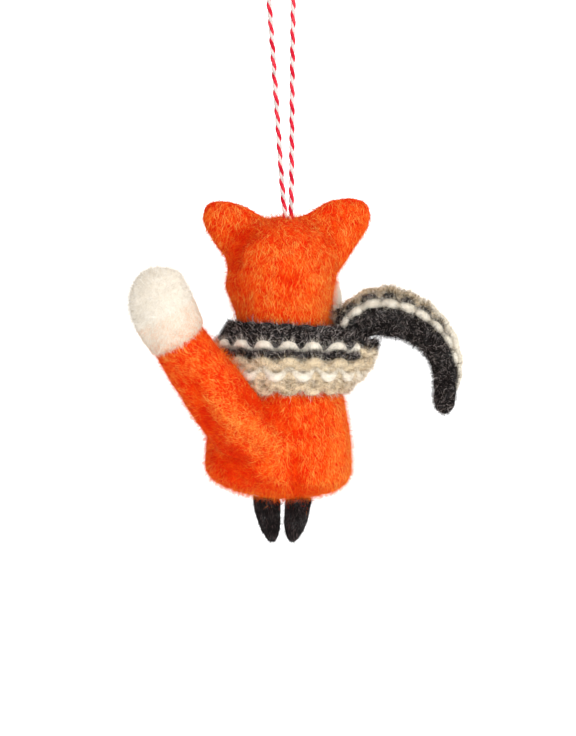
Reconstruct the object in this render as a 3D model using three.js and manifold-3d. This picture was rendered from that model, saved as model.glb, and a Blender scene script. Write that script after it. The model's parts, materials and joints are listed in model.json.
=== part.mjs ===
// Hanging ornament: a needle-felted wool fox in a knitted scarf, on a loop of two-colour twine.
// Millimetres, +Z up. The origin is where the hook bears on the loop. The fox faces -Y.
import * as THREE from "three";
import { mergeVertices } from "three/addons/utils/BufferGeometryUtils.js";
import Module from "manifold-3d";

const wasm = await Module();
wasm.setup();

// Driving dimensions. Heights inside the fox are measured from the crown, where the twine enters the head.

// Clearances
const seatGap = 0.3; // between two pieces that meet
const swingGap = 0.8; // from the loop's ends down to the crown, so that the fox can swing

// Twine
const twineDiameter = 1.5;
const twineSides = 8;
const twineSteps = 56;
const buriedLength = 7; // of the two strands inside the head, above the knot
const knotRadius = 2.1; // middle of the knot's lobes
const knotSteps = 30;
const boreSides = 16;
const crownDepth = 2.95; // how far behind the neck's axis the twine enters, so that the fox hangs upright

// Head
const headHeight = 40;
const crownRise = 0.6; // of the head's dome above the twine's entry
const headWide = [17.5, 17.5, 17.5, 17.3, 16.4, 15.5, 14.6, 13.9, 13.7];
const headDeep = [14.5, 14.6, 15.0, 15.4, 15.3, 14.8, 14.2, 13.8, 13.7];
const faceTurn = -10; // degrees about the neck

// Ears
const earWide = [11.2, 10.6, 9.3, 7.5, 5.6, 4.1];
const earDeep = [6.4, 5.6, 4.6, 3.7, 2.9, 2.4];
const earSpread = { left: 1.02, right: 1.09 }; // the right ear is the broader one
const innerEarShare = 0.62; // of the ear's width
const innerEarThickness = 1.1;

// Face
const cheekRadii = [6.6, 7.0, 7.9];
const muzzleLength = 18;
const muzzleWide = [10.4, 9.8, 8.2, 6.2, 4.6];
const muzzleDeep = [8.6, 8.0, 6.8, 5.4, 4.2];
const noseRadii = [3.2, 2.4, 2.5];
const noseRise = 1.5; // above the muzzle's end
const eyeDiameter = 3.6;
const eyeSpacing = 14.4;
const eyeHeight = -14.6;
const eyeProud = 0.8; // of the bead's middle, in front of the face

// Torso
const torsoHeight = 44.5;
const torsoWide = [13.4, 15.8, 18.2, 19.9, 21.1, 22.0, 22.2, 21.8, 20.6];
const torsoDeepShare = 0.9;
const torsoLean = new THREE.Vector3(1.0, 0.6, 0); // the seat's shift from the neck's axis
const leanHalfway = 0.55; // share of the lean at half height
const seatTilt = 0.06; // how much the seat drops towards the right, per millimetre
const bibRadii = [10.6, 5.0, 16.0];
const bibSunk = 2.6; // of the bib's middle, behind the chest's front
const bibDrop = 4.8; // of the bib's middle, under the scarf

// Legs
const legLength = 20.5;
const legRadii = [4.6, 4.4, 4.05, 3.45, 2.9];
const legSunk = 6.8; // of its length, inside the seat

// Tail
const tailRadii = [9.4, 10.2, 9.6, 8.8, 8.3];
const tipRadii = [8.9, 9.7, 9.9, 9.6];
const tipShare = 0.656; // of the tail's length, where the pale tip begins

// Scarf
const wrapTop = -32.6;
const wrapBottom = -53.2;
const wrapThickness = 6.2;
const wrapBulk = 8.0; // more thickness on the right, where the scarf folds over itself
const wrapBulkSpread = 75; // degrees either side of the fold
const wrapTilt = 0.9; // how much higher the wrap sits on the left than in the middle
const endWide = [6.0, 6.3, 7.4, 7.0, 5.3, 4.4, 4.0, 3.85, 3.8];
const endDeep = [3.3, 3.3, 3.3, 3.3, 3.2, 3.1, 3.0, 2.9, 2.9];
const seatSides = 24; // of the round seat that the free end turns in

// The twine's route from the hook, as x and z: up one strand and down the other
const twineRoute = [
  [-1.15, -70], [-0.75, -66], [-0.05, -58], [0.62, -48], [1.3, -38], [2.0, -28], [2.65, -19],
  [3.2, -11.5], [3.6, -6], [3.6, -2], [2.4, 0], [0, 0.75], [-2.4, 0], [-3.6, -2], [-3.65, -6],
  [-3.6, -11.5], [-3.5, -19], [-3.4, -28], [-3.32, -38], [-3.25, -48], [-3.18, -58], [-3.1, -66],
  [-3.05, -70],
].map(([x, z]) => new THREE.Vector3(x, 0, z));

// The tail's route, and the scarf end's from its root, in the fox's own frame
const tailRoute = [
  [6.6, 12, -69.4], [17.2, 19.5, -55.4], [25, 24.5, -44.7], [31.4, 27.5, -34.4],
  [35.1, 29, -25.2], [36, 30, -16.3],
];
const endRoute = [
  [-21.9, 2.6, -31.5], [-27.3, 3.5, -28.7], [-34.2, 4.5, -29.1], [-41.1, 5, -32],
  [-46.5, 5, -37.2], [-49.3, 4.5, -43.8], [-49.6, 4, -51], [-48.4, 3, -60],
];

// Colours
const orangeWool = new THREE.MeshStandardMaterial({ color: 0xe8480c, roughness: 1, metalness: 0 });
const creamWool = new THREE.MeshStandardMaterial({ color: 0xf1e7d6, roughness: 1, metalness: 0 });
const blackWool = new THREE.MeshStandardMaterial({ color: 0x1d1a1c, roughness: 1, metalness: 0 });
const scarfKnit = new THREE.MeshStandardMaterial({ color: 0x6d665d, roughness: 1, metalness: 0 });
const twineCotton = new THREE.MeshStandardMaterial({ color: 0xd8506a, roughness: 0.9, metalness: 0 });
const glassBead = new THREE.MeshStandardMaterial({ color: 0x0a0a0c, roughness: 0.15, metalness: 0 });

// Solids

const mergeDistance = 1e-4; // between corners that are one

// A geometry as a solid, with its faces turned outwards.
function solidOf(geometry) {
  const bare = geometry.clone();
  bare.deleteAttribute("normal");
  bare.deleteAttribute("uv");
  const merged = mergeVertices(bare, mergeDistance);
  const vertProperties = new Float32Array(merged.attributes.position.array);
  const make = (triVerts) =>
    new wasm.Manifold(new wasm.Mesh({ numProp: 3, vertProperties, triVerts }));
  const triVerts = new Uint32Array(merged.index.array);
  const solid = make(triVerts);
  return solid.volume() > 0 ? solid : make(triVerts.reverse());
}

// A solid as a geometry.
function geometryOf(solid) {
  const { numProp, vertProperties, triVerts, numVert } = solid.getMesh();
  const places = new Float32Array(numVert * 3);
  for (let i = 0; i < numVert; i++) {
    places.set(vertProperties.subarray(i * numProp, i * numProp + 3), i * 3);
  }
  return new THREE.BufferGeometry()
    .setAttribute("position", new THREE.BufferAttribute(places, 3))
    .setIndex(new THREE.BufferAttribute(triVerts, 1));
}

// What is left of a geometry when others are cut from it.
function carve(geometry, ...tools) {
  return geometryOf(tools.reduce((left, tool) => left.subtract(solidOf(tool)), solidOf(geometry)));
}

function vector([x, y, z]) {
  return new THREE.Vector3(x, y, z);
}

// A value that runs smoothly through evenly spaced stations as t goes from 0 to 1.
function through(stations) {
  const curve = new THREE.CatmullRomCurve3(stations.map((s) => new THREE.Vector3(s, 0, 0)));
  return (t) => curve.getPoint(t).x;
}

// A closed skin over rings of equal count, with a point at each end.
function skin(rings, start, end) {
  const sides = rings[0].length;
  const places = [...rings.flat(), start, end];
  const [startAt, endAt] = [places.length - 2, places.length - 1];
  const last = (rings.length - 1) * sides;
  const faces = [];
  for (let j = 0; j < sides; j++) {
    const k = (j + 1) % sides;
    faces.push(startAt, j, k, endAt, last + k, last + j);
    for (let i = 0; i < last; i += sides) {
      faces.push(i + j, i + sides + j, i + k, i + k, i + sides + j, i + sides + k);
    }
  }
  return new THREE.BufferGeometry().setFromPoints(places).setIndex(faces);
}

// How much of its section a limb keeps at t, where its ends are rounded over a share of its length.
function rounding(t, startShare, endShare) {
  const into = (share, distance) =>
    share > 0 && distance < share ? Math.sqrt(Math.max(0, 1 - (1 - distance / share) ** 2)) : 1;
  return Math.min(into(startShare, t), into(endShare, 1 - t));
}

// A felted form that swells and tapers along a path: an oval section, wide across and deep along facing.
// Its sections stand square to the path, or to a heading that turns towards a second one near the end.
// Ends are rounded over the shares given, and flat where a share is 0. Grow offsets the skin outwards.
function limb(form, grow = 0) {
  const { path, wide, deep, facing, heading, startShare = 0, endShare = 0, rings = 14, sides = 18 } = form;
  const { from = 0, to = 1 } = form; // the stretch of the path that is used
  const curve = new THREE.CatmullRomCurve3(path);
  const pointAt = (t) => curve.getPointAt(from + (to - from) * t);
  const headingAt = (t) =>
    heading
      ? heading[0].clone().lerp(heading[1], t ** 3).normalize()
      : curve.getTangentAt(from + (to - from) * t);
  const [wideAt, deepAt] = [through(wide), through(deep)];
  const made = [];
  for (let i = 0; i <= rings; i++) {
    const t = (1 - Math.cos((Math.PI * i) / rings)) / 2;
    const kept = rounding(t, startShare, endShare);
    if (kept === 0) continue;
    const along = headingAt(t);
    const across = new THREE.Vector3().crossVectors(along, facing).normalize();
    const outwards = new THREE.Vector3().crossVectors(across, along);
    const [a, b] = [wideAt(t) * kept + grow, deepAt(t) * kept + grow];
    const middle = pointAt(t);
    made.push(
      Array.from({ length: sides }, (_, j) => {
        const turn = (2 * Math.PI * j) / sides;
        return middle
          .clone()
          .addScaledVector(across, a * Math.cos(turn))
          .addScaledVector(outwards, b * Math.sin(turn));
      }),
    );
  }
  const beyond = (t, way) => pointAt(t).addScaledVector(headingAt(t), way * grow);
  const [start, end] = [beyond(0, -1), beyond(1, 1)];
  for (const [ring, t, cap, share] of [[made[0], 0, start, startShare], [made.at(-1), 1, end, endShare]]) {
    if (share === 0) ring.forEach((point) => point.add(cap).sub(pointAt(t)));
  }
  return skin(made, start, end);
}

// An egg-shaped pad.
const padSides = 16;
const padRows = 12;

function pad([x, y, z], [a, b, c]) {
  const round = new THREE.SphereGeometry(1, padSides, padRows).rotateX(Math.PI / 2);
  return round.scale(a, b, c).translate(x, y, z);
}

function ball(place, radius) {
  return pad(place, [radius, radius, radius]);
}

// A round bar along Y.
function roundBar(radius, length, sides) {
  return new THREE.CylinderGeometry(radius, radius, length, sides);
}

// A block larger than the fox, centred on a place, for cutting away all that lies to one side.
const blockSize = 200;

function block(x, y, z) {
  return new THREE.BoxGeometry(blockSize, blockSize, blockSize).translate(x, y, z);
}

// Turns a face piece with the head.
function turned(geometry) {
  return geometry.rotateZ(THREE.MathUtils.degToRad(faceTurn));
}

const back = new THREE.Vector3(0, 1, 0);
const neckHeight = -headHeight; // where the head meets the torso, inside the scarf

// Twine: where its ends come down is where the fox hangs
const loopEnds = [twineRoute[0], twineRoute.at(-1)];
const crown = loopEnds[0].clone().add(loopEnds[1]).multiplyScalar(0.5);
crown.z -= swingGap;
const strandSpacing = Math.abs(loopEnds[0].x - loopEnds[1].x);

function twineSection() {
  return new THREE.Shape().absarc(0, 0, twineDiameter / 2, 0, 2 * Math.PI);
}

function twineAlong(path, steps) {
  const curveSegments = twineSides / 2;
  return new THREE.ExtrudeGeometry(twineSection(), { steps, curveSegments, extrudePath: path });
}

function twineLoop() {
  return twineAlong(new THREE.CatmullRomCurve3(twineRoute), twineSteps);
}

const knotSpread = 0.4 * knotRadius; // a third of the lobes' reach
const knotRise = 0.55 * knotRadius;

// The overhand knot's path: most of a trefoil, with the twine's two cut ends left apart.
function knotPath() {
  const points = 25;
  const cutShare = 0.05; // left off at each end
  const pointAt = (_, i) => {
    const a = 2 * Math.PI * (cutShare + ((1 - 2 * cutShare) * i) / (points - 1));
    return new THREE.Vector3(
      knotSpread * (Math.sin(a) + 2 * Math.sin(2 * a)),
      knotSpread * (Math.cos(a) - 2 * Math.cos(2 * a)),
      -knotRise * Math.sin(3 * a),
    );
  };
  return new THREE.CatmullRomCurve3(Array.from({ length: points }, pointAt));
}

const knotReach = 3 * knotSpread + twineDiameter / 2; // furthest from the knot's middle
const knotHeight = -buriedLength - knotReach; // of the knot's middle, under the crown

// The buried strands and the stopper knot under them, about the point where the twine enters.
function twineAnchor() {
  const knot = twineAlong(knotPath(), knotSteps).translate(0, 0, knotHeight);
  const strand = roundBar(twineDiameter / 2, -knotHeight - seatGap, twineSides)
    .rotateX(Math.PI / 2)
    .translate(0, 0, (knotHeight - seatGap) / 2);
  const strands = [-1, 1].map((side) => strand.clone().translate((side * strandSpacing) / 2, 0, 0));
  return geometryOf(strands.reduce((made, one) => made.add(solidOf(one)), solidOf(knot)));
}

// Where the buried twine sits: a bore from the crown and a pocket for the knot, in the fox's own frame.
function twinePocket() {
  const boreRadius = strandSpacing / 2 + twineDiameter / 2 + seatGap;
  const boreDepth = buriedLength + knotReach;
  const boreRise = 4; // clear of the crown
  const bore = roundBar(boreRadius, boreDepth + boreRise, boreSides)
    .rotateX(Math.PI / 2)
    .translate(crown.x, crownDepth, (boreRise - boreDepth) / 2);
  const pocket = ball([crown.x, crownDepth, knotHeight], knotReach + seatGap);
  return geometryOf(solidOf(bore).add(solidOf(pocket)));
}

// Head
const headForm = {
  path: [crownRise, neckHeight / 2, neckHeight].map((z) => new THREE.Vector3(0, 0, z)),
  wide: headWide,
  deep: headDeep,
  facing: back,
  startShare: 0.3,
  rings: 18,
  sides: 24,
};

function head() {
  return carve(limb(headForm), twinePocket());
}

// Ears: each rises out of the head's upper corner
const earRoots = { left: [3.6, 0, -12.4], right: [-4.8, 0, -13.2] };
const earTips = { left: [23.0, -1, 3.3], right: [-26.2, -1, 4] };

function earForm(side) {
  const [root, tip] = [vector(earRoots[side]), vector(earTips[side])];
  return {
    path: [root, root.clone().lerp(tip, 0.5), tip],
    wide: earWide.map((w) => w * earSpread[side]),
    deep: earDeep,
    facing: back,
    endShare: 0.2,
    rings: 12,
    sides: 16,
  };
}

function ear(side) {
  return carve(limb(earForm(side)), limb(headForm, seatGap));
}

// The pale lining of the ear's front.
function innerEar(side) {
  const form = earForm(side);
  const [root, tip] = [form.path[0], form.path[2]];
  const forwards = new THREE.Vector3(0, -innerEarThickness, 0);
  const lining = {
    ...form,
    path: [0.3, 0.55, 0.86].map((t) => root.clone().lerp(tip, t).add(forwards)),
    wide: form.wide.map((w) => w * innerEarShare),
    startShare: 0.25,
    endShare: 0.45,
    rings: 9,
    sides: 14,
  };
  const behind = block(0, blockSize / 2, 0);
  return carve(limb(lining), limb(form, seatGap), limb(headForm, seatGap), behind);
}

// Face
const cheekPlace = [10.2, -9.4, -23.8];
const muzzleStart = new THREE.Vector3(0, -6, -21.5);
const muzzleDrop = -4.2;
const muzzleRun = new THREE.Vector3(0, -muzzleLength, muzzleDrop);
const muzzleForm = {
  path: [0, 0.5, 1].map((t) => muzzleStart.clone().addScaledVector(muzzleRun, t)),
  wide: muzzleWide,
  deep: muzzleDeep,
  facing: new THREE.Vector3(0, 0, 1),
  endShare: 0.16,
  rings: 12,
  sides: 16,
};

function muzzle() {
  return carve(turned(limb(muzzleForm)), limb(headForm, seatGap));
}

function cheek(side) {
  const [x, y, z] = cheekPlace;
  const behindMuzzle = turned(limb(muzzleForm, seatGap));
  return carve(turned(pad([side * x, y, z], cheekRadii)), limb(headForm, seatGap), behindMuzzle);
}

function nose() {
  const tip = muzzleForm.path.at(-1);
  const place = [tip.x, tip.y, tip.z + noseRise];
  return carve(turned(pad(place, noseRadii)), turned(limb(muzzleForm, seatGap)));
}

function eye(side) {
  const x = eyeSpacing / 2;
  const t = -eyeHeight / headHeight;
  const faceDepth = through(headDeep)(t) * Math.sqrt(1 - (x / through(headWide)(t)) ** 2);
  const bead = ball([side * x, -faceDepth - eyeProud, eyeHeight], eyeDiameter / 2);
  return carve(turned(bead), limb(headForm, seatGap));
}

// Torso
const torsoTop = neckHeight - seatGap;
const torsoBottom = torsoTop - torsoHeight;
const torsoForm = {
  path: [
    new THREE.Vector3(0, 0, torsoTop),
    torsoLean.clone().multiplyScalar(leanHalfway).setZ((torsoTop + torsoBottom) / 2),
    torsoLean.clone().setZ(torsoBottom),
  ],
  heading: [new THREE.Vector3(0, 0, -1), new THREE.Vector3(seatTilt, 0, -1)],
  wide: torsoWide,
  deep: torsoWide.map((w, i) => w * (i === 0 ? 1 : torsoDeepShare)),
  facing: back,
  endShare: 0.17,
  rings: 18,
  sides: 24,
};

function torso() {
  return limb(torsoForm);
}

// The pale bib on the chest, which comes out from under the scarf.
function chestBib() {
  const middle = wrapBottom - bibDrop;
  const front = -through(torsoWide)((torsoTop - middle) / torsoHeight) * torsoDeepShare;
  const underScarf = block(0, 0, wrapBottom - seatGap + blockSize / 2);
  return carve(pad([0, front + bibSunk, middle], bibRadii), limb(torsoForm, seatGap), underScarf);
}

// Legs: each hangs from the seat and narrows to its toe
const legTops = { left: [4.9, 0.6, 0], right: [-5.8, 0.6, 0] };
const legToes = { left: [3.1, -0.6, 0], right: [-3.2, -0.6, 0] };

function leg(side) {
  const top = vector(legTops[side]).setZ(torsoBottom + legSunk);
  const toe = vector(legToes[side]).setZ(top.z - legLength);
  const kneeBow = 0.14; // of the leg's slant
  const knee = top.clone().lerp(toe, 0.5);
  knee.x += (top.x - toe.x) * kneeBow;
  const shape = { path: [top, knee, toe], wide: legRadii, deep: legRadii, facing: back };
  const form = { ...shape, endShare: 0.24, rings: 10, sides: 14 };
  return carve(limb(form), limb(torsoForm, seatGap));
}

// Tail: one route, in two wools
const tailPath = tailRoute.map(vector);
const tailGap = seatGap / new THREE.CatmullRomCurve3(tailPath).getLength(); // as a share of its length
const tailShape = { path: tailPath, facing: back, sides: 18 };
const tailPart = { ...tailShape, to: tipShare, wide: tailRadii, deep: tailRadii, rings: 12 };
const tipPart = {
  ...tailShape,
  from: tipShare + tailGap,
  wide: tipRadii,
  deep: tipRadii,
  endShare: 0.62,
  rings: 10,
};

function tail() {
  return carve(limb(tailPart), limb(torsoForm, seatGap), wrapBody(seatGap));
}

function tailTip() {
  return limb(tipPart);
}

// Scarf

// The neck's reach from its axis at a height: the head's or the torso's, with the torso's lean.
function neckReach(z) {
  if (z >= neckHeight) return through(headWide)(-z / headHeight);
  const t = (torsoTop - z) / torsoHeight;
  const lean = new THREE.CatmullRomCurve3(torsoForm.path).getPoint(Math.max(0, t)).setZ(0).length();
  return through(torsoWide)(Math.max(0, t)) + lean;
}

// The wrap's fullness from top to bottom, plain and at its fold
const plainSwell = through([0.08, 0.37, 0.74, 0.96, 0.95, 0.81, 0.62, 0.37, 0.08]);
const foldSwell = through([0.25, 0.72, 0.95, 1.0, 0.86, 0.65, 0.4, 0.15, 0.04]);

// The wrap's section at an angle about the neck: down its swelling outside and up its bore.
function wrapSection(angle, grow) {
  const outside = 9;
  const inside = 5;
  const away = THREE.MathUtils.radToDeg(Math.abs(angle - Math.PI)) / wrapBulkSpread; // from the fold
  const bulk = away < 1 ? Math.cos((Math.PI / 2) * away) ** 2 : 0;
  const thickness = wrapThickness + wrapBulk * bulk;
  const swellAt = (t) => thickness * THREE.MathUtils.lerp(plainSwell(t), foldSwell(t), bulk);
  const top = wrapTop + wrapTilt * Math.cos(angle) + grow;
  const bottom = wrapBottom - grow;
  const at = (t, swell) => {
    const z = top + (bottom - top) * t;
    const reach = neckReach(z) + seatGap + swell;
    return new THREE.Vector3(reach * Math.cos(angle), reach * Math.sin(angle), z);
  };
  const down = Array.from({ length: outside }, (_, i) => i / (outside - 1));
  const up = Array.from({ length: inside }, (_, i) => 1 - i / (inside - 1));
  return [...down.map((t) => at(t, swellAt(t) + grow)), ...up.map((t) => at(t, -grow))];
}

// The ring of wrapped knit round the neck.
function wrapBody(grow = 0) {
  const turns = 40;
  const sections = Array.from({ length: turns }, (_, i) => wrapSection((2 * Math.PI * i) / turns, grow));
  const count = sections[0].length;
  const faces = [];
  for (let i = 0; i < turns; i++) {
    for (let j = 0; j < count; j++) {
      const [a, b] = [i * count, ((i + 1) % turns) * count];
      const k = (j + 1) % count;
      faces.push(a + j, a + k, b + j, a + k, b + k, b + j);
    }
  }
  return new THREE.BufferGeometry().setFromPoints(sections.flat()).setIndex(faces);
}

// The free end: it starts in a round root, which turns in the wrap's seat.
const endRoot = vector(endRoute[0]);
const endRootRadius = endWide[0];
const endStart = endRoot.clone().addScaledVector(
  endRoot.clone().sub(vector(endRoute[1])).setY(0).normalize(),
  endRootRadius,
);
const endPath = [endStart, ...endRoute.map(vector)];
const endForm = {
  path: endPath,
  wide: endWide,
  deep: endDeep,
  facing: back,
  startShare: endRootRadius / new THREE.CatmullRomCurve3(endPath).getLength(),
  endShare: 0.06,
  rings: 24,
  sides: 16,
};

function scarfEnd() {
  return limb(endForm);
}

function scarfWrap() {
  const seatRadius = endRootRadius + seatGap;
  const seatWidth = 2 * (endDeep[0] + seatGap);
  const seat = roundBar(seatRadius, seatWidth, seatSides).translate(...endRoot.toArray());
  return carve(wrapBody(), seat, limb(endForm, seatGap));
}

// Assembly
function piece(name, geometry, material) {
  const bare = geometry.index ? geometry.toNonIndexed() : geometry;
  bare.computeVertexNormals();
  const mesh = new THREE.Mesh(bare, material);
  mesh.name = name;
  return mesh;
}

function group(name, ...members) {
  const made = new THREE.Group();
  made.name = name;
  made.add(...members);
  return made;
}

const face = group(
  "face",
  piece("cheek_left", cheek(1), creamWool),
  piece("cheek_right", cheek(-1), creamWool),
  piece("muzzle", muzzle(), orangeWool),
  piece("nose", nose(), blackWool),
  piece("eye_left", eye(1), glassBead),
  piece("eye_right", eye(-1), glassBead),
);

const scarf = group(
  "scarf",
  piece("scarf_wrap", scarfWrap(), scarfKnit),
  piece("scarf_end", scarfEnd(), scarfKnit),
);

const fox = group(
  "fox",
  piece("head", head(), orangeWool),
  piece("ear_left", ear("left"), orangeWool),
  piece("ear_right", ear("right"), orangeWool),
  piece("inner_ear_left", innerEar("left"), creamWool),
  piece("inner_ear_right", innerEar("right"), creamWool),
  face,
  piece("torso", torso(), orangeWool),
  piece("chest_bib", chestBib(), creamWool),
  piece("leg_left", leg("left"), blackWool),
  piece("leg_right", leg("right"), blackWool),
  piece("tail", tail(), orangeWool),
  piece("tail_tip", tailTip(), creamWool),
  scarf,
);
fox.position.set(0, -crownDepth, crown.z);

const anchor = piece("twine_anchor", twineAnchor(), twineCotton);
anchor.position.copy(crown);

export default group("hanging_fox", piece("twine_loop", twineLoop(), twineCotton), anchor, fox);
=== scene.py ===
"""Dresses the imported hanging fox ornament: needle felt, a knitted scarf, a twine loop and a studio."""

import json
import math
from collections import namedtuple

import bmesh
import bpy
import numpy as np
from bpy.props import FloatProperty, FloatVectorProperty, IntProperty, PointerProperty
from bpy.types import Operator, Panel, PropertyGroup
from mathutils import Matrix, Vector
from mathutils.bvhtree import BVHTree


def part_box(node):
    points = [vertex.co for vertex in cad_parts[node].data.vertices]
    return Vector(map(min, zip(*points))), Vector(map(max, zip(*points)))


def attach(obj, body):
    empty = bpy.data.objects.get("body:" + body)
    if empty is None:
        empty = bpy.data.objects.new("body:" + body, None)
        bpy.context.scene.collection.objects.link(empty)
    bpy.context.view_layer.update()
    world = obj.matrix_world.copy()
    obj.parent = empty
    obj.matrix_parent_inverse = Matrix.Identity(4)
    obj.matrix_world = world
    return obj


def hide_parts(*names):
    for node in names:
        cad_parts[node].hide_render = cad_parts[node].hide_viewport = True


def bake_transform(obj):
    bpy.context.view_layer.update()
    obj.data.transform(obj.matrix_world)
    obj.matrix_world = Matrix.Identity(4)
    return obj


bl_info = {
    "name": "Felted fox ornament",
    "version": (1, 0, 0),
    "blender": (4, 5, 0),
    "location": "View3D > Sidebar > Ornament",
    "description": "Needle felt, knitted scarf, twine loop and studio for the hanging fox",
    "category": "Object",
}

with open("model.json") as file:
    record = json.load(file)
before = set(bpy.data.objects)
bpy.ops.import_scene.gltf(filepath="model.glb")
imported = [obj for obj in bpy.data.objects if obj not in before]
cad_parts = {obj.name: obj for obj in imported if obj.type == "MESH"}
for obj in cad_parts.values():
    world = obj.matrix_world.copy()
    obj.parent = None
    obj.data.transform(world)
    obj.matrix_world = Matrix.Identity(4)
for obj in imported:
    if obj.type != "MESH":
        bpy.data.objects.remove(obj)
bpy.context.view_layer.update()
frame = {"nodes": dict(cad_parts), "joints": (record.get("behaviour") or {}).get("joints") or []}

MM = 0.001
TURN = 2 * math.pi
SHADE_MAP = "OFBake"  # strands: shade across the map, root to tip up it
UP = Vector((0, 0, 1))
BACK = Vector((0, 1, 0))
LEVEL = Vector((1, 1, 0))  # a direction times this has no height

# Places that the CAD fixes
JOINTS = {joint["name"]: joint for joint in frame["joints"]}
CROWN = Vector(JOINTS["swing"]["pos_m"])
NECK = Vector(JOINTS["scarf_turn"]["pos_m"])
SCARF_ROOT = Vector(JOINTS["scarf_end_lift"]["pos_m"])

# The twine's route from the crown up one strand and down the other, in millimetres from the hook
TWINE_ROUTE = [
    (-1.15, -70), (-0.75, -66), (-0.05, -58), (0.62, -48), (1.3, -38), (2.0, -28), (2.65, -19),
    (3.2, -11.5), (3.6, -6), (3.6, -2), (2.4, 0), (0, 0.75), (-2.4, 0), (-3.6, -2), (-3.65, -6),
    (-3.6, -11.5), (-3.5, -19), (-3.4, -28), (-3.32, -38), (-3.25, -48), (-3.18, -58), (-3.1, -66),
    (-3.05, -70),
]

# The free end's route and half widths, in millimetres from its root
END_ROUTE = [
    (5.3, 0, -2.8), (0, 0, 0), (-5.4, 0.9, 2.8), (-12.3, 1.9, 2.4), (-19.2, 2.4, -0.5),
    (-24.6, 2.4, -5.7), (-27.4, 1.9, -12.3), (-27.7, 1.4, -19.5), (-26.5, 0.4, -28.5),
]
END_HALF_WIDTHS = [6.0, 6.3, 7.4, 7.0, 5.3, 4.4, 4.0, 3.85, 3.8]

# A row round the wrap: its yarn and bend, its height from the crown, the height of its waves, its
# thickness, how far its bends come forward and how far it stands off the wrap, in millimetres, the lean
# and shift of its stitches, in stitches, and the yarn of its selvedge along the fold
WrapRow = namedtuple("WrapRow", "yarn bend height wave thick front raised lean shift selvedge")
WRAP_ROWS = [
    WrapRow("charcoal", "wave", -33.9, 0.4, 2.6, 0.0, 0.0, 0.06, 0.0, None),
    WrapRow("charcoal", "wave", -36.1, 0.8, 2.6, 0.0, 0.0, 0.06, 0.5, None),
    WrapRow("charcoal", "wave", -38.3, 1.0, 2.2, -0.4, 0.0, 0.06, 0.0, None),
    WrapRow("white", "arcs", -39.8, 1.9, 1.85, 1.45, -0.2, 0.0, 0.0, "charcoal"),
    WrapRow("charcoal", "wave", -41.9, 0.6, 2.1, 0.1, 0.5, 0.05, 0.0, "oatmeal"),
    WrapRow("oatmeal", "arcs", -44.8, 1.8, 2.4, 0.4, 0.0, 0.0, 0.0, None),
    WrapRow("oatmeal", "wave", -46.6, 2.6, 2.6, 0.2, 0.0, 0.10, 0.5, None),
    WrapRow("white", "cups", -46.8, 3.3, 1.95, -0.9, 0.5, 0.0, 0.0, None),
    WrapRow("oatmeal", "wave", -49.5, 3.2, 2.7, 0.5, 0.0, 0.12, 0.0, None),
    WrapRow("oatmeal", "wave", -51.6, 1.9, 2.6, 0.2, 0.0, 0.06, 0.5, None),
]

# The span of the fold's selvedge, in degrees about the neck
FOLD_ANGLES = (154, 215)

# A row along the free end: its yarn and bend, its places across the end and how far it hooks inwards at
# the root, in shares of the half width, its waves, thickness and forward bends in millimetres, the shares
# of the way where it starts and stops, and the share of its thickness that it runs out to
EndRow = namedtuple("EndRow", "yarn bend across hook wave thick front since until thin")
OUTER_EDGE = (0.9, 0.98, 1.0, 0.93, 0.8)
END_ROWS = [
    EndRow("charcoal", "wave", (-1.0, -1.0, -0.95, -0.75, -0.6), 0.0, 0.4, 2.4, 0.0, 0.0, 0.965, 1.0),
    EndRow("charcoal", "wave", (-0.65, -0.65, -0.55, -0.35, -0.25), 0.0, 0.5, 2.4, 0.1, 0.0, 0.985, 1.0),
    EndRow("charcoal", "wave", (-0.3, -0.3, -0.2, 0.0, 0.05), 0.2, 0.5, 2.4, 0.0, 0.0, 1.0, 1.0),
    EndRow("charcoal", "wave", (0.0, 0.0, 0.1, 0.35, 0.4), 0.5, 0.5, 2.2, -0.2, 0.0, 0.98, 1.0),
    EndRow("white", "dashes", (0.34, 0.34, 0.40, 0.68, 0.8), 1.0, 0.7, 2.5, 0.9, 0.0, 0.76, 0.5),
    EndRow("charcoal", "wave", (0.72, 0.68, 0.72, 0.8, 0.6), 0.8, 0.5, 2.4, 1.0, 0.0, 0.62, 0.5),
    EndRow("oatmeal", "wave", (0.75, 0.75, 0.8, 0.85, 0.85), 0.8, 0.3, 1.8, 0.1, 0.0, 0.62, 0.6),
    EndRow("oatmeal", "wave", OUTER_EDGE, 0.6, 0.5, 2.4, 0.1, 0.0, 0.46, 0.7),
    EndRow("white", "wave", OUTER_EDGE, 0.6, 0.5, 1.9, 0.1, 0.40, 0.86, 0.5),
]
# A short dark stub beside the root, on the back face only
ROOT_STUB = EndRow("charcoal", "wave", (0.85, 0.85), 0.0, 0.0, 3.6, -1.0, 0.015, 0.065, 1.0)

# Each yarn's layers of fuzz, from lying to standing: fibres on a square millimetre, their length and width
# in millimetres, their lift and their tone
Fuzz = namedtuple("Fuzz", "density length width lift tone")
FUZZ = {
    "charcoal": (
        Fuzz(3.5, 1.0, 0.05, 0.3, 0.25), Fuzz(7.5, 1.0, 0.065, 0.8, 0.4), Fuzz(5.0, 1.8, 0.07, 1.6, 0.18),
    ),
    "white": (Fuzz(8.0, 0.9, 0.06, 0.25, 0.55), Fuzz(3.5, 1.6, 0.06, 1.3, 0.55)),
    "oatmeal": (
        Fuzz(6.5, 1.1, 0.06, 0.3, 0.5), Fuzz(2.5, 1.2, 0.07, 0.9, 0.45), Fuzz(4.5, 1.8, 0.07, 1.6, 0.5),
    ),
}
STITCH_STEPS = 16  # points of a row in each stitch


def arched(phase):
    """Round arches that meet in points."""
    return 2 * np.abs(np.sin(phase / 2)) - 1


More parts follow.
